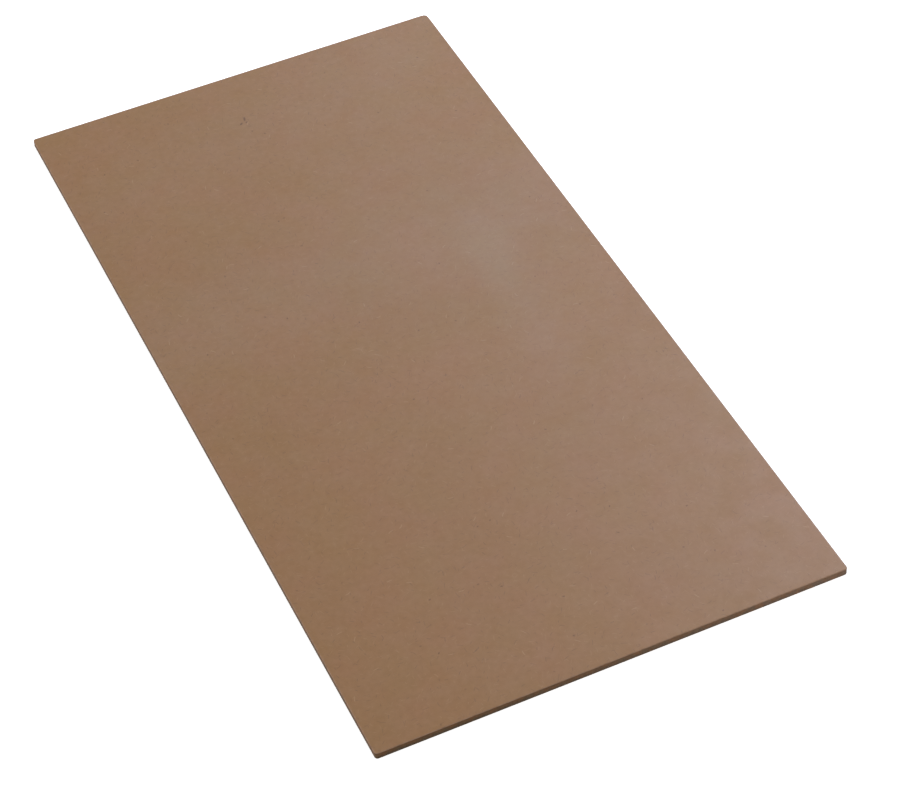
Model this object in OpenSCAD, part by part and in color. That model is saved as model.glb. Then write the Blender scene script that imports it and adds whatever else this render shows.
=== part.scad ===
// Hardboard sheet: one pressed panel, smooth face up, screen back down.
// Millimetres. X runs across the sheet, Y along it, Z up; the origin is the
// centre of the back, so the sheet lies on the plane z = 0.

/* [Sheet] */
// Width across the sheet, 12 inches
sheet_w = 305; // [100:1:1220]
// Length along the sheet, 24 inches
sheet_l = 610; // [100:1:2440]
// Thickness of the board, 3/16 inch
sheet_t = 4.8; // [2.4:0.1:9.6]

/* [Edges] */
// Radius of the four corners in plan, as handling blunts them
corner_r = 2; // [1:0.1:20]
// Radius of the arris between the smooth face and the sawn edge
face_arris_r = 0.4; // [0.1:0.05:0.9]
// Radius of the sharper arris between the screen back and the sawn edge
back_arris_r = 0.2; // [0.1:0.05:0.9]

/* [Hidden] */
$fn = 48;

// Distances from the sheet's centre to the centres of the corner arcs
corner_x = sheet_w / 2 - corner_r;
corner_y = sheet_l / 2 - corner_r;

// Section from an axis out to the sawn edge, which stands `reach` away from it:
// a square edge whose two arrises are true arcs
module edge_section(reach) {
    // the sawn edge itself, between the two arrises
    translate([0, back_arris_r])
        square([reach, sheet_t - back_arris_r - face_arris_r]);
    // the thickness behind each arris, down to the back and up to the face
    square([reach - back_arris_r, sheet_t / 2]);
    translate([0, sheet_t / 2])
        square([reach - face_arris_r, sheet_t / 2]);
    translate([reach - back_arris_r, back_arris_r])
        circle(back_arris_r);
    translate([reach - face_arris_r, sheet_t - face_arris_r])
        circle(face_arris_r);
}

// A bar of the sheet with sawn edges on its two long sides, running along Y
module edged_bar(width, length) {
    rotate([90, 0, 0])
        linear_extrude(length, center = true) {
            edge_section(width / 2);
            mirror([1, 0]) edge_section(width / 2);
        }
}

// One quarter of a corner: the same section turned about the corner's centre
module corner() {
    rotate_extrude(angle = 90) edge_section(corner_r);
}

module hardboard_sheet() {
    color([0.59, 0.47, 0.39]) {
        // the long edges reach as far as the corner arcs, and so do the short ones
        edged_bar(sheet_w, 2 * corner_y);
        rotate([0, 0, 90]) edged_bar(sheet_l, 2 * corner_x);
        // the corners, turned so that each one faces outwards
        for (quarter = [0 : 3])
            let (side_x = quarter == 0 || quarter == 3 ? 1 : -1, side_y = quarter < 2 ? 1 : -1)
            translate([side_x * corner_x, side_y * corner_y, 0])
                rotate([0, 0, 90 * quarter]) corner();
    }
}

hardboard_sheet();
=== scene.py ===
# %% [markdown]
# # A sheet of hardboard
#
# Hardboard is wood fibre pressed flat under heat until it is as dense as a hard timber. This lesson
# dresses one small sheet, 12 by 24 inches and 3/16 inch thick. The construction model is exact but
# plain, so what is left for Blender is what makes hardboard look like hardboard: the polished brown
# face with its stray fibres, the dark sawn edge, and the woven-wire print on the back.
#
# The first step loads the imported model as a fixed frame. Everything below is placed from its boxes,
# in metres, and the box of the bare model is kept.

# %% Load the frame
import math
import random

import bmesh
import bpy
from mathutils import Matrix, Vector, noise


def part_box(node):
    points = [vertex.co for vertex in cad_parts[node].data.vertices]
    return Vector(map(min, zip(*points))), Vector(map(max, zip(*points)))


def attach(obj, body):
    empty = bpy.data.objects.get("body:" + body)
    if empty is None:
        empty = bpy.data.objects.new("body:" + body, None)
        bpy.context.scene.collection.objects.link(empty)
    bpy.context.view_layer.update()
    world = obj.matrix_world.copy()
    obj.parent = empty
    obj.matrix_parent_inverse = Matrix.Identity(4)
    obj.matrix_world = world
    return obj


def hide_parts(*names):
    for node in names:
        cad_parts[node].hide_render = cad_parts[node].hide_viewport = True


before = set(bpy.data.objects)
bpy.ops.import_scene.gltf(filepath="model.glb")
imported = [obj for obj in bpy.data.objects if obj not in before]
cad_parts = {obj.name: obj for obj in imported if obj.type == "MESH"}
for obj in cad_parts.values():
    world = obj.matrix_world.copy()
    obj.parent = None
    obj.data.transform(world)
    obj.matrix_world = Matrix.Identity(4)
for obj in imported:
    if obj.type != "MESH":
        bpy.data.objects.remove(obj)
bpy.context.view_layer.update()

MM = 0.001
NODE = "hardboard_sheet"
low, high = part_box(NODE)
width, length, thickness = high - low
print(f"sheet: {width / MM:.1f} x {length / MM:.1f} x {thickness / MM:.2f} mm")

# %% [markdown]
# ## The camera
#
# The camera stands about 1.75 m off, in front of the left end of the near edge and halfway up the
# sky, and looks down on the sheet through a long lens. A long lens keeps the two long sides nearly
# parallel, as in a catalogue. It could be placed by typing in a location and three Euler angles,
# but those say nothing to a reader. Three angles do: round the sheet, up from the floor, and roll
# about the lens. The camera never needs any depth of field for a flat thing like this.

# %% Place the camera
CAMERA_ROUND = math.radians(-21.5)
CAMERA_UP = math.radians(45)
CAMERA_ROLL = math.radians(-4.25)
CAMERA_FAR = 1.757
CAMERA_LENS = 110.9
CAMERA_LOOKS_AT = Vector((0.002, -0.067, 0))

back = Vector((
    math.sin(CAMERA_ROUND) * math.cos(CAMERA_UP),
    -math.cos(CAMERA_ROUND) * math.cos(CAMERA_UP),
    math.sin(CAMERA_UP),
))
camera = bpy.data.objects.new("camera", bpy.data.cameras.new("camera"))
camera.data.sensor_width = 36
camera.data.lens = CAMERA_LENS
camera.location = CAMERA_LOOKS_AT + back * CAMERA_FAR
aim = (-back).to_track_quat("-Z", "Y")
camera.rotation_mode = "QUATERNION"
camera.rotation_quaternion = aim @ Matrix.Rotation(CAMERA_ROLL, 3, "Z").to_quaternion()
bpy.context.scene.collection.objects.link(camera)
bpy.context.scene.camera = camera
print("camera at", [round(v, 3) for v in camera.location])

# %% [markdown]
# ## The outline of the sheet
#
# The real sheet is one rectangle cut from a big pressed panel, with corners that handling has
# rounded by about 2 mm. Its mesh could be the construction solid with a bevel, but the back needs a
# fine grid for its print, and a bevel on a fine grid is slow and easily breaks. So the mesh is laid
# out by rule. An inner rectangle, one corner radius smaller all round, carries a square grid with
# one cell for each mesh of the pressing screen. The edge then reaches out from the rim of that grid
# in columns: straight out along the sides, and fanned round at the corners.

# %% Lay out the grid and the columns of the edge
CORNER = 2 * MM
SCREEN_PITCH = 2.5 * MM
CORNER_STEPS = 4

half_x = width / 2 - CORNER
half_y = length / 2 - CORNER
cells_x = 2 * round(half_x / SCREEN_PITCH)
cells_y = 2 * round(half_y / SCREEN_PITCH)


def grid_place(i, j):
    """The place of a grid point, counted in screen cells from the near left corner."""
    return Vector((half_x * (2 * i / cells_x - 1), half_y * (2 * j / cells_y - 1), 0))


def edge_columns():
    """Walk round the rim of the grid: each column is a grid point and the angle it faces."""
    sides = (
        [(i, 0) for i in range(cells_x + 1)],
        [(cells_x, j) for j in range(cells_y + 1)],
        [(i, cells_y) for i in range(cells_x, -1, -1)],
        [(0, j) for j in range(cells_y, -1, -1)],
    )
    quarter = math.pi / 2
    columns = []
    for turn, side in enumerate(sides):
        facing = quarter * (turn - 1)
        columns += [(point, facing) for point in side]
        fan = range(1, CORNER_STEPS)
        columns += [(side[-1], facing + quarter * step / CORNER_STEPS) for step in fan]
    return columns


columns = edge_columns()
print(f"grid: {cells_x} x {cells_y} cells, {len(columns)} columns round the edge")

# %% [markdown]
# ## The section of the edge
#
# A saw leaves the edge square, and what softens it is wear. The polished face crumbles a little
# more than the back, so its corner has the larger round. Two bevels could round them, but each would
# need its own weight on every edge of a fine mesh. So the section is a short list of rings, each
# given by how far it lies in from the outline and how high it is. A ring on the flat just inside
# each round holds the shading, so that the face stays visibly flat right up to its edge.

# %% Work out the rings of the edge
FACE_ARRIS = 0.4 * MM
BACK_ARRIS = 0.2 * MM
FACE_HOLD = 0.7 * MM
BACK_HOLD = 0.5 * MM
FACE_ARRIS_STEPS = 3
BACK_ARRIS_STEPS = 2
WALL_ROWS = 4


def arris(radius, centre_height, first, last, steps):
    """Rings round one arris, from the angle first to the angle last, measured up from level."""
    rings = []
    for step in range(steps + 1):
        angle = math.radians(first + (last - first) * step / steps)
        rings.append((radius * (1 - math.cos(angle)), centre_height + radius * math.sin(angle)))
    return rings


wall_top = thickness - FACE_ARRIS
wall_drop = wall_top - BACK_ARRIS
face_rings = [(FACE_HOLD, thickness)] + arris(FACE_ARRIS, wall_top, 90, 0, FACE_ARRIS_STEPS)
wall_rings = [(0, wall_top - wall_drop * row / (WALL_ROWS + 1)) for row in range(1, WALL_ROWS + 1)]
back_rings = arris(BACK_ARRIS, BACK_ARRIS, 0, -90, BACK_ARRIS_STEPS) + [(BACK_HOLD, 0)]
print(f"edge: {len(face_rings + wall_rings + back_rings)} rings")

# %% [markdown]
# ## The relief of the face, the saw cut and the back
#
# None of the three surfaces is truly flat. The face keeps a very slow wave from the press, a few
# hundredths of a millimetre deep, which no finger feels but which bends a reflection. The saw leaves
# the edge uneven by about as much. The back was pressed against a woven-wire screen that let the
# steam out, so each mesh of the screen left a small pillow of fibre, and each wire a groove between
# pillows. All three cut inwards from the outline, so that the sheet never grows past its true size.
#
# They could be sculpted, but a rule for each one can be read and changed. The waves are noise, and
# the unevenness of the wires is drawn by lot. A lot with a fixed seed comes out the same each time,
# so every run makes the same sheet.

# %% Describe the relief
PRESS_WAVE = 0.09 * MM
PRESS_WAVE_LENGTH = 75 * MM
FLAT_MARGIN = 25 * MM
SAW_WAVE = 0.06 * MM
SAW_WAVE_LENGTH = 6 * MM
WIRE_DEPTH = 0.13 * MM
WIRE_UNEVEN = 0.03 * MM

chance = random.Random(12)


def press_wave(place):
    """How far the pressed face dips here; nothing at the rim, where the sheet is at full size."""
    rim = min(half_x - abs(place.x), half_y - abs(place.y))
    ease = min(1, max(0, rim / FLAT_MARGIN))
    hill = 0.5 + 0.5 * noise.noise(place / PRESS_WAVE_LENGTH)
    return PRESS_WAVE * hill * ease * ease * (3 - 2 * ease)


def saw_wave(place):
    """How far the saw wandered into the edge here."""
    return SAW_WAVE * (0.5 + 0.5 * noise.noise(place / SAW_WAVE_LENGTH))


def wire_groove():
    """Height of a wire crossing in the back."""
    return WIRE_DEPTH + chance.uniform(-WIRE_UNEVEN, WIRE_UNEVEN)


def pillow_top():
    """Height of the middle of a pillow: the proudest ones lie on the floor."""
    return chance.uniform(0, WIRE_UNEVEN)


print(f"screen: wires {SCREEN_PITCH / MM:.1f} mm apart, grooves {WIRE_DEPTH / MM:.2f} mm deep")

# %% [markdown]
# ## The edge all round
#
# Columns and rings cross in a net of points. The points at one ring make a loop round the sheet, and
# neighbouring loops are joined by quads into a band, which is the whole edge. Extruding the outline
# step by step would give the same band, but each arris would then be an operation of its own, and
# the saw's waves would come as an afterthought. A loop of points asks only for its inset and height.
#
# The face, the sawn edge and the back are told apart by their material slots. The line between the
# first two matters. Handling has worn the polish off the arris, so the finish of the edge starts
# where the round does, and paints a thin pale line along the top there itself, by its height.

# %% Join the rings into a band
FACE, SAWN_EDGE, SCREEN_BACK = range(3)


def add_ring(mesh, inset, height, sawn=False):
    """One ring of the edge, at a given inset from the outline."""
    ring = []
    for point, facing in columns:
        out = Vector((math.cos(facing), math.sin(facing), 0))
        place = grid_place(*point) + out * (CORNER - inset) + Vector((0, 0, height))
        if sawn:
            place -= out * saw_wave(place)
        ring.append(mesh.verts.new(place))
    return ring


def add_face(mesh, points, finish):
    """One polygon of the sheet, with its finish; points met twice in a row count once."""
    corners = [p for k, p in enumerate(points) if p is not points[k - 1]]
    face = mesh.faces.new(corners)
    face.material_index = finish
    face.smooth = True


def add_band(mesh):
    """The edge all round; only its first and last strip belong to the face and the back."""
    rings = [add_ring(mesh, *ring) for ring in face_rings]
    rings += [add_ring(mesh, *ring, sawn=True) for ring in wall_rings]
    rings += [add_ring(mesh, *ring) for ring in back_rings]
    finishes = [FACE] + [SAWN_EDGE] * (len(rings) - 3) + [SCREEN_BACK]
    for above, below, finish in zip(rings, rings[1:], finishes):
        for k in range(len(columns)):
            add_face(mesh, [above[k - 1], above[k], below[k], below[k - 1]], finish)
    return rings[0], rings[-1]


skin = bmesh.new()
top_ring, bottom_ring = add_band(skin)
print(f"band: {len(skin.verts)} points, {len(skin.faces)} faces")

# %% [markdown]
# ## The pressed side
#
# The side that met the polished plate is almost a plane. If it were truly flat, one big polygon
# would do, but the press's slow waves need points to hang on. They are so long that every second
# grid point is enough. The rim of the grid has fewer points than the ring round it, so each polygon
# between the two takes in a few more points of the ring.

# %% Lay the pressed side
FACE_GRID_STEP = 2


def cell_corners(grid, i, j, step):
    """The four grid points round one cell."""
    return [grid[i, j], grid[i + step, j], grid[i + step, j + step], grid[i, j + step]]


def close_rim(mesh, ring, grid, step, finish):
    """Join a ring to the rim of a grid that has a point every few cells."""
    stops = [k for k, ((i, j), _) in enumerate(columns) if i % step == 0 and j % step == 0]
    for start, end in zip(stops, stops[1:] + [stops[0] + len(columns)]):
        along_ring = [ring[k % len(columns)] for k in range(start, end + 1)]
        rim = [grid[columns[end % len(columns)][0]], grid[columns[start][0]]]
        add_face(mesh, along_ring + rim, finish)


def add_pressed_side(mesh, ring):
    """The face with its waves, joined to the ring round it."""
    grid = {}
    for i in range(0, cells_x + 1, FACE_GRID_STEP):
        for j in range(0, cells_y + 1, FACE_GRID_STEP):
            place = grid_place(i, j)
            place.z = thickness - press_wave(place)
            grid[i, j] = mesh.verts.new(place)
    for i in range(0, cells_x, FACE_GRID_STEP):
        for j in range(0, cells_y, FACE_GRID_STEP):
            add_face(mesh, cell_corners(grid, i, j, FACE_GRID_STEP), FACE)
    close_rim(mesh, ring, grid, FACE_GRID_STEP, FACE)
    lowest = min(point.co.z for point in grid.values())
    print(f"pressed side: {len(grid)} grid points, waves {(thickness - lowest) / MM:.3f} mm deep")


add_pressed_side(skin, top_ring)

# %% [markdown]
# ## The screen side
#
# The print of the woven wire is small but regular, and it catches every raking light. A bump in the
# finish would shade it, but the mesh would stay flat and an export would lose it, so it is real
# geometry. A displace modifier could press it in, but only through a grid far finer than the wires.
# Here the grid is the screen itself: its points lie in the grooves where two wires cross, and one
# more point in the middle of each cell raises the pillow. That makes four triangles for each mesh of
# the screen.

# %% Lay the screen side
def add_screen_side(mesh, ring):
    """The back with a pillow in each cell, joined to the ring round it."""
    grid = {}
    for i in range(cells_x + 1):
        for j in range(cells_y + 1):
            place = grid_place(i, j)
            place.z = wire_groove()
            grid[i, j] = mesh.verts.new(place)
    for i in range(cells_x):
        for j in range(cells_y):
            around = cell_corners(grid, i, j, 1)
            middle = (around[0].co + around[2].co) / 2
            middle.z = pillow_top()
            pillow = mesh.verts.new(middle)
            for side in range(4):
                add_face(mesh, [around[side - 1], around[side], pillow], SCREEN_BACK)
    close_rim(mesh, ring, grid, 1, SCREEN_BACK)
    print(f"screen side: {cells_x * cells_y} pillows")


add_screen_side(skin, bottom_ring)

# %% [markdown]
# ## The worn corner
#
# Three corners are blunt, and the far right one is rounder: it has been knocked a little more. A
# second radius could go into the walk round the edge, but then every rule there would have to know
# which corner it is at. It is simpler to build the sheet even and wear it down afterwards, as
# happened to the real one. Seen from the centre of the larger arc, each point near that corner is
# drawn in by the same share as the outline in front of it, so no surface folds over.

# %% Wear the corner
WORN_CORNER = 3.6 * MM


def outline_reach(across, up):
    """How far the even outline lies from the centre of the worn arc, in the direction given."""
    spare = WORN_CORNER - CORNER
    straight = WORN_CORNER / max(across, up)
    if straight * min(across, up) <= spare:
        return straight
    lean = spare * (across + up)
    return lean + math.sqrt(CORNER ** 2 - 2 * spare ** 2 + lean ** 2)


def wear_corner(mesh):
    """Draw the points round the far right corner in to the larger arc."""
    centre = Vector((width / 2 - WORN_CORNER, length / 2 - WORN_CORNER))
    worn = [point for point in mesh.verts if min(point.co.xy - centre) > 0]
    for point in worn:
        offset = point.co.xy - centre
        point.co.xy = centre + offset * (WORN_CORNER / outline_reach(*offset.normalized()))
    most = (WORN_CORNER - CORNER) * (math.sqrt(2) - 1)
    print(f"worn corner: {len(worn)} points drawn in, by {most / MM:.2f} mm at most")


wear_corner(skin)

# %% [markdown]
# ## The finished mesh
#
# The skin is closed, so Blender can work out by itself which way is out. The mesh then becomes an
# object, and two short calls tie it to the frame: it rides on the sheet's only body, and the one node
# of the construction model is hidden, since the sheet takes its place.

# %% Make the sheet an object
bmesh.ops.recalc_face_normals(skin, faces=skin.faces)
open_edges = sum(len(edge.link_faces) != 2 for edge in skin.edges)
print(f"sheet: {len(skin.verts)} points, {len(skin.faces)} faces, {open_edges} open edges")
sheet = bpy.data.objects.new("pressed_sheet", bpy.data.meshes.new("pressed_sheet"))
skin.to_mesh(sheet.data)
skin.free()
bpy.context.scene.collection.objects.link(sheet)
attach(sheet, "root")
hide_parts(NODE)

# %% [markdown]
# ## Small tools for the finishes
#
# Each finish is a graph of shader nodes, and there are two ways to write one: node by node, or with
# a few small tools that read like sums. The tools win here, because the finishes share the same
# steps. Every texture is placed by the object's own coordinates, in metres, so a size in a finish is
# a real size on the sheet, and nothing slides when the camera moves.

# %% Tools for joining nodes
def new_finish(name):
    """A material with a node graph, and its main shader."""
    finish = bpy.data.materials.new(name)
    finish.use_nodes = True
    return finish, finish.node_tree, finish.node_tree.nodes["Principled BSDF"]


def add_node(tree, kind, inputs, **options):
    """A shader node; an input that is another node's output is linked, any other is typed in."""
    made = tree.nodes.new("ShaderNode" + kind)
    for option, value in options.items():
        setattr(made, option, value)
    for socket, value in inputs.items():
        if isinstance(value, bpy.types.NodeSocket):
            tree.links.new(value, made.inputs[socket])
        else:
            made.inputs[socket].default_value = value
    return made


def calc(tree, operation, *values):
    """One sum, such as ADD or MULTIPLY."""
    return add_node(tree, "Math", dict(enumerate(values)), operation=operation).outputs[0]


def fade(tree, value, start, end, first=0.0, last=1.0):
    """Goes smoothly from first to last while the value goes from start to end."""
    ends = {"Value": value, "From Min": start, "From Max": end, "To Min": first, "To Max": last}
    return add_node(tree, "MapRange", ends, interpolation_type="SMOOTHSTEP").outputs["Result"]


SHARE, FIRST_COLOUR, SECOND_COLOUR, MIXED_COLOUR = 0, 6, 7, 2


def blend(tree, share, first, second, blend_type="MIX"):
    """Mixes two colours; the mix node has sockets for other kinds too, so these go by number."""
    inputs = {SHARE: share, FIRST_COLOUR: first, SECOND_COLOUR: second}
    made = add_node(tree, "Mix", inputs, data_type="RGBA", blend_type=blend_type)
    return made.outputs[MIXED_COLOUR]


# %% [markdown]
# ## Tools that know sizes
#
# Noise makes a finish look grown rather than painted. The noise node asks for a scale, which says
# little by itself, so the tool below asks for the size of the spots instead, and the next one turns
# the noise into a factor that makes a colour a little lighter here and darker there. Two more say
# where a texture lies: in the sheet's own metres, and shifted, so that two layers of the same noise
# don't line up. The last two hand the finished graph over: one as relief, one as the next material
# slot of the sheet.

# %% Tools for textures
def cloud(tree, place, size, detail=2.0):
    """Soft noise with spots of about the given size, mostly between 0.3 and 0.7."""
    settings = {"Vector": place, "Scale": 1 / size, "Detail": detail}
    return add_node(tree, "TexNoise", settings).outputs["Fac"]


def swing(tree, value, amount):
    """Turns noise about 0.5 into a factor about 1."""
    return calc(tree, "MULTIPLY_ADD", value, 2 * amount, 1 - amount)


def moved(tree, place, shift=(0, 0, 0), stretch=(1, 1, 1)):
    """The same coordinates, shifted and stretched, so that like layers don't line up."""
    settings = {"Vector": place, "Location": shift, "Scale": stretch}
    return add_node(tree, "Mapping", settings).outputs[0]


def own_place(tree):
    """The object's own coordinates, in metres."""
    return add_node(tree, "TexCoord", {}).outputs["Object"]


def emboss(tree, shader, relief, strength, depth):
    """Lets the light see a relief that is too fine for the mesh."""
    settings = {"Height": relief, "Strength": strength, "Distance": depth}
    bump = add_node(tree, "Bump", settings).outputs[0]
    tree.links.new(bump, shader.inputs["Normal"])


def dress(finish):
    """Puts a finish into the sheet's next slot."""
    sheet.data.materials.append(finish)
    slot = len(sheet.data.materials) - 1
    print(f"{finish.name}: slot {slot}, {len(finish.node_tree.nodes)} nodes")


# %% [markdown]
# ## Stray fibres
#
# Under a glass, the face is a felt of wood fibres, and here and there one shows: a pale or dark
# hair, 2 to 5 mm long and about half a millimetre wide, lying any way round. They could be drawn
# as thousands of curves, but they have no height worth modelling. Stretched noise gives a grain,
# which hardboard does not have. So each fibre is drawn by rule. A Voronoi pattern scatters one
# point in each cell, with a colour of its own. The colour turns the fibre, bends it a little, and
# says how dark it is, and two soft steps draw it round its point. The rule is a node group, because
# it is laid down in several layers.

# %% Draw one layer of fibres
def make_fibre_layer():
    """A node group: how much of a fibre is here, and the number that is that fibre's own."""
    group = bpy.data.node_groups.new("fibre_layer", "ShaderNodeTree")
    group.interface.new_socket("Place", in_out="INPUT", socket_type="NodeSocketVector")
    for name in ("Spacing", "Length", "Width"):
        group.interface.new_socket(name, in_out="INPUT", socket_type="NodeSocketFloat")
    group.interface.new_socket("Fibre", in_out="OUTPUT", socket_type="NodeSocketFloat")
    group.interface.new_socket("Own", in_out="OUTPUT", socket_type="NodeSocketFloat")
    given = group.nodes.new("NodeGroupInput").outputs
    flat_place = add_node(
        group, "VectorMath", {0: given["Place"], 1: (1, 1, 0)}, operation="MULTIPLY"
    ).outputs[0]
    cells = add_node(
        group,
        "TexVoronoi",
        {"Vector": flat_place, "Scale": calc(group, "DIVIDE", 1, given["Spacing"])},
        voronoi_dimensions="2D",
    )
    chances = add_node(group, "SeparateColor", {0: cells.outputs["Color"]}).outputs
    offset = add_node(
        group, "VectorMath", {0: flat_place, 1: cells.outputs["Position"]}, operation="SUBTRACT"
    ).outputs[0]
    turn = calc(group, "MULTIPLY", chances[0], math.tau)
    turned = add_node(
        group, "VectorRotate", {"Vector": offset, "Angle": turn}, rotation_type="Z_AXIS"
    ).outputs[0]
    steps = add_node(group, "SeparateXYZ", {0: turned}).outputs
    run = calc(group, "ABSOLUTE", steps[0])
    bend = calc(group, "DIVIDE", calc(group, "SUBTRACT", chances[1], 0.5), given["Length"])
    bow = calc(group, "MULTIPLY", bend, calc(group, "POWER", run, 2))
    side = calc(group, "ABSOLUTE", calc(group, "ADD", steps[1], bow))
    half_width = calc(group, "MULTIPLY", given["Width"], 0.5)
    half_length = calc(group, "MULTIPLY", given["Length"], 0.5)
    across = fade(group, side, 0, half_width, 1, 0)
    end_starts = calc(group, "MULTIPLY", half_length, 0.5)
    ends = fade(group, run, end_starts, half_length, 1, 0)
    result = group.nodes.new("NodeGroupOutput").inputs
    group.links.new(calc(group, "MULTIPLY", across, ends), result["Fibre"])
    group.links.new(chances[2], result["Own"])
    return group


fibre_layer = make_fibre_layer()
print("fibre layer:", len(fibre_layer.nodes), "nodes")


def fibres(tree, place, spacing, longest, thick, shift):
    """One layer of fibres: where they are, and each one's own number."""
    layer = tree.nodes.new("ShaderNodeGroup")
    layer.node_tree = fibre_layer
    tree.links.new(moved(tree, place, shift=shift), layer.inputs["Place"])
    layer.inputs["Spacing"].default_value = spacing
    layer.inputs["Length"].default_value = longest
    layer.inputs["Width"].default_value = thick
    return layer.outputs["Fibre"], layer.outputs["Own"]


# %% [markdown]
# ## The brown of the face
#
# The felt's colour is built up as the eye finds it: a hint of red or olive here and there, slow
# cloudy changes of tone as wide as a hand, and a fine grain. The mottling in between is not a darker
# and a lighter brown. It is partly the felt's own tone and partly painted sheen: in some spots the
# skin is painted a little greyer and cooler, as where its gloss catches more light, and in others a
# purer brown. A plain factor on the colour can't do that, so the mottling has a factor of its own
# for red, for green and for blue, the largest for blue, in patches of two sizes.

# %% Mix the brown of the face
FACE_COLOUR = (0.2545, 0.1213, 0.0378, 1)
FACE_RED = (0.2580, 0.1203, 0.0395, 1)
FACE_OLIVE = (0.2515, 0.1221, 0.0361, 1)
HUE_PATCH = 38 * MM
TONE_PATCH = 80 * MM
GRAIN = 1.1 * MM

# the size of the patches, and how far red, green and blue swing in them, partly as painted sheen
FACE_MOTTLING_AND_SHEEN = (
    (12 * MM, (0.03, 0.075, 0.29)),
    (4 * MM, (0.095, 0.116, 0.27)),
)


def felt_colour(tree, place):
    """The brown of the felt, mottled partly with painted sheen, before any single fibre shows in it.
    """
    hue = cloud(tree, moved(tree, place, shift=(0.4, 0.1, 0)), HUE_PATCH)
    colour = blend(tree, fade(tree, hue, 0.35, 0.5), FACE_OLIVE, FACE_COLOUR)
    colour = blend(tree, fade(tree, hue, 0.5, 0.65), colour, FACE_RED)
    tone = swing(tree, cloud(tree, place, TONE_PATCH, detail=1.0), 0.03)
    tone = calc(tree, "MULTIPLY", tone, swing(tree, cloud(tree, place, GRAIN), 0.05))
    colour = blend(tree, 1.0, colour, tone, "MULTIPLY")
    for size, swings in FACE_MOTTLING_AND_SHEEN:
        # partly painted sheen: the greyer, bluer side of each patch stands in for gloss catching more
        # light
        bare = [1 - part for part in swings] + [1]
        hazy_sheen = [1 + part for part in swings] + [1]
        mottle_and_sheen = blend(tree, cloud(tree, place, size), bare, hazy_sheen)
        colour = blend(tree, 1.0, colour, mottle_and_sheen, "MULTIPLY")
    return colour


# %% [markdown]
# ## Specks of bark
#
# Some bark always goes into the pulp and stays dark. Most specks are tiny, no larger than the head
# of a pin, and it doesn't matter where each one lies, so the fibre rule draws them too, made short
# and wide. Three larger ones close together, near the far end, form the one blemish on this sheet.
# They have a place and a shape each, and are drawn as soft ovals.

# %% Scatter the specks of bark
BARK = (0.13, 0.048, 0.008, 1)

# spacing, length, thickness and shift
BARK_SPECKS = (20 * MM, 1.8 * MM, 1.4 * MM, (0.007, 0.013, 0))

# the middle of each oval, its length and width, and its turn in degrees
BLEMISH = (
    (-11 * MM, 255 * MM, 4.5 * MM, 1.5 * MM, 75),
    (-15 * MM, 251 * MM, 3.0 * MM, 1.5 * MM, 40),
    (-11 * MM, 251 * MM, 2.0 * MM, 1.0 * MM, 30),
)


def bark_oval(tree, place, x, y, long, wide, turn):
    """How much of one soft oval is here."""
    settings = {
        "Vector": place,
        "Location": (x, y, 0),
        "Rotation": (0, 0, math.radians(turn)),
        "Scale": (long / 2, wide / 2, 1),
    }
    local = add_node(tree, "Mapping", settings, vector_type="TEXTURE").outputs[0]
    parts = add_node(tree, "SeparateXYZ", {0: local}).outputs
    reach = calc(tree, "ADD", calc(tree, "POWER", parts[0], 2), calc(tree, "POWER", parts[1], 2))
    return fade(tree, reach, 0.2, 1.6, 1, 0)


def add_bark(tree, place, colour):
    """The colour with its specks; only three in ten of the places have one."""
    speck, own = fibres(tree, place, *BARK_SPECKS)
    speck = calc(tree, "MULTIPLY", speck, fade(tree, own, 0.7, 1.0))
    colour = blend(tree, speck, colour, BARK)
    for oval in BLEMISH:
        colour = blend(tree, bark_oval(tree, place, *oval), colour, BARK)
    return colour


# %% [markdown]
# ## The pressed face
#
# The polished press plate leaves the face brown, even and slightly shiny. The stray fibres lie in
# the felt in four layers. Each fibre's own number says how it looks: high ones are paler than the
# felt, low ones are darker, and the rest only show as part of the relief, into which all of them go.
#
# The shine has two parts. A rough gloss spreads the light of a whole window over the board. Over it
# lies a weak, tighter gloss, which is the skin that the press polished. It alone shows the shape of
# a lamp, as a soft band or a pale streak. It could be a separate glossy shader, but the coat of the
# main shader does the same and survives an export.

# %% Finish the face
PALE_FIBRE = (0.35, 0.20, 0.095, 1)
DARK_FIBRE = (0.105, 0.047, 0.017, 1)
FACE_FELT = 0.9 * MM
FACE_ROUGH = 0.42
FACE_ROUGH_SWING = 0.03
SHINE_PATCH = 18 * MM
FACE_COAT = 0.12
FACE_COAT_ROUGH = 0.11

# spacing, length, thickness, how strong the palest and the darkest are, and a shift
FACE_FIBRES = (
    (7 * MM, 3.6 * MM, 0.55 * MM, 0.45, 0.62, (0.011, 0.023, 0)),
    (9 * MM, 5.0 * MM, 0.45 * MM, 0.45, 0.62, (0.037, 0.005, 0)),
    (5 * MM, 2.4 * MM, 0.60 * MM, 0.45, 0.55, (0.002, 0.041, 0)),
    (17 * MM, 4.5 * MM, 0.90 * MM, 0.75, 0.42, (0.059, 0.017, 0)),
)


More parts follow.
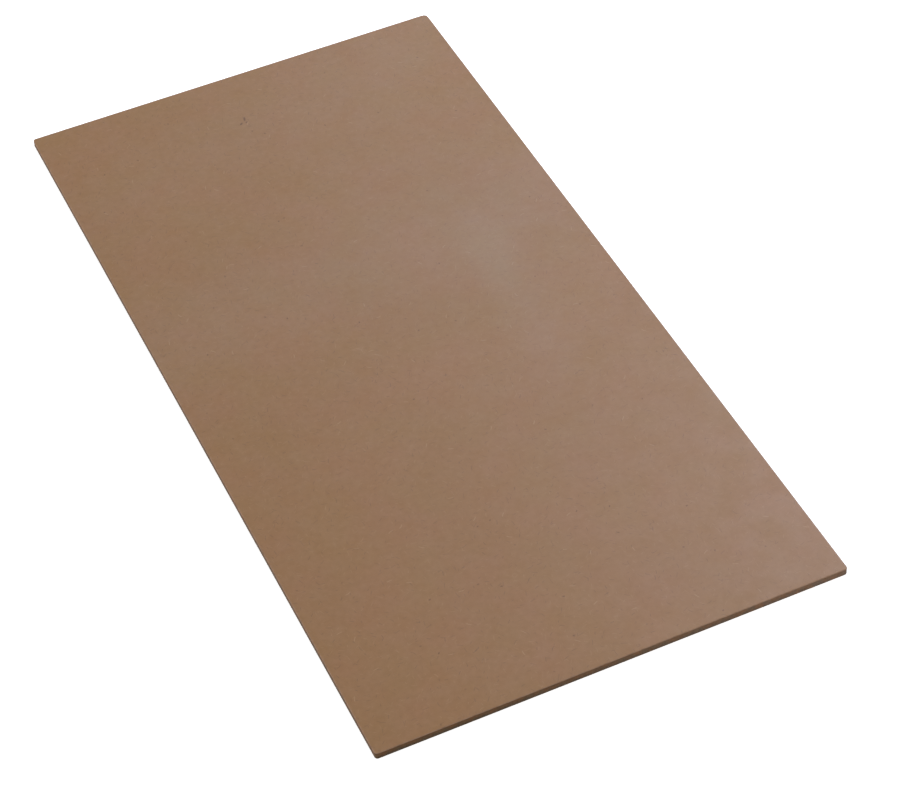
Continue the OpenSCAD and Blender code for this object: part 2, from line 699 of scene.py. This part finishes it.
def finish_face():
    """The polished brown face."""
    finish, tree, shader = new_finish("pressed_face")
    place = own_place(tree)
    colour = felt_colour(tree, place)
    relief = cloud(tree, place, FACE_FELT, detail=3.0)
    for spacing, longest, thick, palest, darkest, shift in FACE_FIBRES:
        fibre, own = fibres(tree, place, spacing, longest, thick, shift)
        pale = calc(tree, "MULTIPLY", fibre, fade(tree, own, 0.55, 0.95, 0, palest))
        dark = calc(tree, "MULTIPLY", fibre, fade(tree, own, 0.05, 0.45, darkest, 0))
        colour = blend(tree, pale, colour, PALE_FIBRE)
        colour = blend(tree, dark, colour, DARK_FIBRE)
        relief = calc(tree, "ADD", relief, fibre)
    tree.links.new(add_bark(tree, place, colour), shader.inputs["Base Color"])
    glossiest = FACE_ROUGH - FACE_ROUGH_SWING
    dullest = FACE_ROUGH + FACE_ROUGH_SWING
    shine = fade(tree, cloud(tree, place, SHINE_PATCH), 0.3, 0.7, glossiest, dullest)
    tree.links.new(shine, shader.inputs["Roughness"])
    shader.inputs["Coat Weight"].default_value = FACE_COAT
    shader.inputs["Coat Roughness"].default_value = FACE_COAT_ROUGH
    emboss(tree, shader, relief, strength=0.35, depth=0.03 * MM)
    return finish


dress(finish_face())

# %% [markdown]
# ## The sawn edge
#
# The saw opens up the inside of the board, which is darker and duller than the pressed skins. The
# lower half is painted darker and greyer, as painted shade close to the floor, and the line between
# the halves is ragged. The cut is also painted paler the further right one looks, as painted sheen
# of the light from that side. A strip of scanned edge could be wrapped round the sheet, but it would
# repeat. What goes by height or by place is mixed here by the coordinates themselves, and never runs
# out.

# %% Mix the colour of the cut
EDGE_UPPER = (0.078, 0.0345, 0.0100, 1)
EDGE_LOWER_SHADED = (0.058, 0.0335, 0.0130, 1)
EDGE_PAINTED_SHEEN = (0.20, 0.122, 0.083, 1)
EDGE_RAGGED = 4 * MM
SHEEN_AT_RIGHT_END = 0.3
SHEEN_NEAR_RIGHT_END = 0.09


def cut_colour(tree, along, height, ragged):
    """The inside of the board by height, darker below as painted shade, and paler to the right as
    painted sheen.
    """
    waver = calc(tree, "MULTIPLY_ADD", ragged, EDGE_RAGGED, -EDGE_RAGGED / 2)
    level = calc(tree, "ADD", height, waver)
    # painted shade: the lower half of the cut, near the floor, is darker and greyer
    body = fade(tree, level, 0.40 * thickness, 0.60 * thickness)
    # painted sheen: the cut is mixed towards a pale brown the further right it lies, as light from
    # the right falls on it
    painted_sheen = fade(tree, along, -width / 2, width / 2, 0, SHEEN_AT_RIGHT_END)
    more = fade(tree, along, 0.2 * width, width / 2, 0, SHEEN_NEAR_RIGHT_END)
    colour = blend(tree, body, EDGE_LOWER_SHADED, EDGE_UPPER)
    return blend(tree, calc(tree, "ADD", painted_sheen, more), colour, EDGE_PAINTED_SHEEN)


# %% [markdown]
# ## The marks in the cut
#
# The felt lies in thin level layers, so the edge shows fine streaks along its length, and the saw
# tooth leaves short upright scratches across them. Both are the same noise, placed by coordinates
# that run faster or slower upwards. They could be cut into the mesh, but they are too fine for it.
# Bundles of fibre make the cut lighter or darker, redder or greyer, every few millimetres, and a
# thin pale line is painted along the top of the cut, by height. The cut has hardly any gloss, so
# the shader's own reflection is turned down as well.

# %% Finish the sawn edge
EDGE_TOP_LINE = (0.26, 0.162, 0.105, 1)
EDGE_TOP_LINE_DEPTH = 0.5 * MM
EDGE_WARM = (1.12, 1.0, 0.87, 1)
EDGE_GREY = (0.89, 1.0, 1.14, 1)
EDGE_HUE_PATCH = 5 * MM
EDGE_BUNDLE = 2.5 * MM
LAYER_LENGTH = 3 * MM
LAYER_STRETCH = (1, 1, 12)
SCRATCH_WIDTH = 0.5 * MM
SCRATCH_STRETCH = (1, 1, 0.15)
EDGE_ROUGH = 0.8
EDGE_GLOSS = 0.2


def finish_edge():
    """The dark cut through the board."""
    finish, tree, shader = new_finish("sawn_edge")
    place = own_place(tree)
    along, _, height = add_node(tree, "SeparateXYZ", {0: place}).outputs
    ragged = cloud(tree, place, EDGE_RAGGED, detail=3.0)
    colour = cut_colour(tree, along, height, ragged)
    layers = cloud(tree, moved(tree, place, stretch=LAYER_STRETCH), LAYER_LENGTH, detail=4.0)
    scratches = cloud(tree, moved(tree, place, stretch=SCRATCH_STRETCH), SCRATCH_WIDTH)
    tone = calc(tree, "MULTIPLY", swing(tree, layers, 0.35), swing(tree, scratches, 0.35))
    bundles = cloud(tree, moved(tree, place, shift=(0.3, 0.2, 0)), EDGE_BUNDLE, detail=3.0)
    tone = calc(tree, "MULTIPLY", tone, swing(tree, bundles, 0.45))
    colour = blend(tree, 1.0, colour, tone, "MULTIPLY")
    hue = cloud(tree, moved(tree, place, shift=(0.1, 0.5, 0)), EDGE_HUE_PATCH)
    hue = blend(tree, fade(tree, hue, 0.3, 0.7), EDGE_WARM, EDGE_GREY)
    colour = blend(tree, 1.0, colour, hue, "MULTIPLY")
    # a thin pale line along the top of the cut, painted by height and made ragged
    worn = fade(tree, height, thickness - EDGE_TOP_LINE_DEPTH, thickness - 0.1 * MM)
    worn = calc(tree, "MULTIPLY", worn, fade(tree, ragged, 0.3, 0.6, 0.7, 1.0))
    colour = blend(tree, worn, colour, EDGE_TOP_LINE)
    tree.links.new(colour, shader.inputs["Base Color"])
    shader.inputs["Roughness"].default_value = EDGE_ROUGH
    shader.inputs["Specular IOR Level"].default_value = EDGE_GLOSS
    relief = calc(tree, "ADD", layers, scratches)
    emboss(tree, shader, relief, strength=0.6, depth=0.15 * MM)
    return finish


dress(finish_edge())

# %% [markdown]
# ## The screen back
#
# The back never touched a polished plate. It is matt, a shade greyer and drier than the face, and
# its fibres show more, because the steam pulled them about as it left. The pillows are real
# geometry, and the grooves between them are painted darker, as painted shade in the recesses. A
# pattern of lines could do that, but it would have to be lined up with the mesh by hand. The finish
# finds them by their height.

# %% Finish the back
BACK_COLOUR = (0.200, 0.108, 0.050, 1)
GROOVE_SHADE = (0.125, 0.062, 0.027, 1)
BACK_FELT = 0.5 * MM
BACK_FIBRE_THICK = 0.4 * MM
BACK_ROUGH = 0.85

# spacing, length and shift
BACK_FIBRES = (
    (4 * MM, 3.2 * MM, (0.013, 0.031, 0)),
    (6 * MM, 4.8 * MM, (0.047, 0.003, 0)),
)


def finish_back():
    """The matt back with the print of the screen."""
    finish, tree, shader = new_finish("screen_back")
    place = own_place(tree)
    height = add_node(tree, "SeparateXYZ", {0: place}).outputs[2]
    # painted shade: the grooves between the pillows are darkened by their height
    groove = fade(tree, height, 0.02 * MM, WIRE_DEPTH)
    colour = blend(tree, groove, BACK_COLOUR, GROOVE_SHADE)
    slow = swing(tree, cloud(tree, place, 30 * MM), 0.10)
    quick = swing(tree, cloud(tree, place, 0.8 * MM, detail=3.0), 0.22)
    colour = blend(tree, 1.0, colour, calc(tree, "MULTIPLY", slow, quick), "MULTIPLY")
    relief = cloud(tree, place, BACK_FELT, detail=3.0)
    for spacing, longest, shift in BACK_FIBRES:
        fibre, own = fibres(tree, place, spacing, longest, BACK_FIBRE_THICK, shift)
        pale = calc(tree, "MULTIPLY", fibre, fade(tree, own, 0.4, 0.9, 0, 0.6))
        colour = blend(tree, pale, colour, PALE_FIBRE)
        relief = calc(tree, "ADD", relief, fibre)
    tree.links.new(colour, shader.inputs["Base Color"])
    shader.inputs["Roughness"].default_value = BACK_ROUGH
    emboss(tree, shader, relief, strength=0.6, depth=0.08 * MM)
    return finish


dress(finish_back())

# %% [markdown]
# ## The floor
#
# The sheet lies on a plain white studio floor. It only has to be large, pale and matt: the light
# and a little glow of its own make it white, so close round the sheet it shows almost no shadow. It
# could be left out, with the white sky going on below, but then that shadow would be lost too. It
# sits a hair below the sheet, so that two surfaces never lie in one plane and flicker, and it is
# marked as stage, because it is no part of the object.

# %% Lay the floor
FLOOR_SIZE = 40
FLOOR_GAP = 0.02 * MM
FLOOR_WHITE = (0.93, 0.93, 0.93, 1)
FLOOR_GLOW = 0.6

floor_mesh = bmesh.new()
bmesh.ops.create_grid(floor_mesh, x_segments=1, y_segments=1, size=FLOOR_SIZE / 2)
floor = bpy.data.objects.new("studio_floor", bpy.data.meshes.new("studio_floor"))
floor_mesh.to_mesh(floor.data)
floor_mesh.free()
floor.location.z = low.z - FLOOR_GAP
floor_finish, _, floor_shader = new_finish("white_paper")
floor_shader.inputs["Base Color"].default_value = FLOOR_WHITE
floor_shader.inputs["Roughness"].default_value = 0.9
floor_shader.inputs["Specular IOR Level"].default_value = 0.1
floor_shader.inputs["Emission Color"].default_value = (1, 1, 1, 1)
floor_shader.inputs["Emission Strength"].default_value = FLOOR_GLOW
floor.data.materials.append(floor_finish)
bpy.context.scene.collection.objects.link(floor)
print("floor at", round(floor.location.z / MM, 3), "mm")

# %% [markdown]
# ## The sky
#
# A plain product on white wants light from everywhere, so most of it comes from an even white sky.
# It could be brighter overhead, as a real one is, but a sheet that lies flat would hardly show it.
# The view transform is set to the standard one, which leaves white white. Blender's default one
# would grey the floor and wash out the brown.

# %% Light the sky
SKY_COLOUR = (0.99, 1, 1, 1)
SKY_STRENGTH = 0.69

sky = bpy.data.worlds.new("studio")
sky.use_nodes = True
sky_light = sky.node_tree.nodes["Background"]
sky_light.inputs["Color"].default_value = SKY_COLOUR
sky_light.inputs["Strength"].default_value = SKY_STRENGTH
bpy.context.scene.world = sky
bpy.context.scene.view_settings.view_transform = "Standard"
print("sky strength", SKY_STRENGTH)

# %% [markdown]
# ## The lamps
#
# A board under an even sky looks like paper. What tells the eye that it is polished is the change
# of sheen across it, so a wide soft window with a brighter heart hangs over the far right, where the
# face mirrors it towards the camera: the sheen grows from the near left corner to the right-hand
# side. A faint window beside it carries the sheen on towards the middle. Two long faint panels leave
# the hazy bands that cross the sheet, a small one the cool patch in the far right corner, and two
# narrow ones the pale streak with its brighter head. The windows at the left and at the side stand
# low: low light brings out the upright edges and hardly touches the face. The one in front is only
# a weak fill for the near edge.
#
# Two things are easy to get wrong. A lamp's power says little about how bright it looks, because
# that depends on its size. So each panel is given by its brightness, and its power in watts is
# worked out. And panels that overlap must hang at different heights: in one plane, the renderer
# finds only one of them, and the sheen of the other is lost.

# %% Hang the lamps
DAYLIGHT = (1, 0.99, 1.05)
NORTH_LIGHT = (0.95, 0.98, 1.25)
HEART_LIGHT = (0.90, 0.98, 1.2)
HAZE = (0.3, 0.66, 1.0)
COOL = (0.3, 0.78, 1.0)


def soft_panel(name, at, size, brightness, colour=DAYLIGHT, turn=None):
    """An unseen rectangular lamp: level and turned by so many degrees, or aimed at the sheet."""
    lamp = bpy.data.lights.new(name, "AREA")
    lamp.shape = "RECTANGLE"
    lamp.size, lamp.size_y = size
    lamp.energy = brightness * math.pi * size[0] * size[1]
    lamp.color = colour
    panel = bpy.data.objects.new(name, lamp)
    panel.location = at
    if turn is None:
        panel.rotation_euler = (-Vector(at)).to_track_quat("-Z", "Y").to_euler()
    else:
        panel.rotation_euler.z = math.radians(turn)
    panel.visible_camera = False
    bpy.context.scene.collection.objects.link(panel)
    print(f"{name}: {lamp.energy:.2f} W")


# name, place, size, brightness, colour and turn
soft_panel("left_window", (-1.3, 0.4, 0.08), (2.4, 0.12), 20.0)
soft_panel("front_window", (-0.2, -1.6, 1.4), (1.0, 0.8), 0.45)
soft_panel("side_window", (1.2, -0.5, 0.6), (0.6, 0.6), 2.5)
soft_panel("right_window", (0.9, 1.0, 1.2), (0.9, 2.4), 0.7, NORTH_LIGHT, turn=0)
soft_panel("right_window_heart", (0.9, 0.6, 1.1), (0.3, 0.6), 10.3, HEART_LIGHT, turn=0)
soft_panel("middle_window", (0.4, 0.8, 1.13), (0.3, 0.6), 0.4, NORTH_LIGHT, turn=0)
soft_panel("near_band", (0.41, 1.185, 1.06), (0.86, 0.14), 3.0, HAZE, turn=4)
soft_panel("far_band", (0.37, 1.486, 1.06), (0.51, 0.06), 3.0, HAZE, turn=12)
soft_panel("far_corner", (0.605, 1.53, 1.04), (0.11, 0.07), 2.5, COOL, turn=12)
soft_panel("streak", (0.52, 1.0, 1.02), (0.035, 0.26), 5.0, COOL, turn=0)
soft_panel("streak_head", (0.518, 1.07, 1.0), (0.035, 0.12), 4.0, COOL, turn=0)
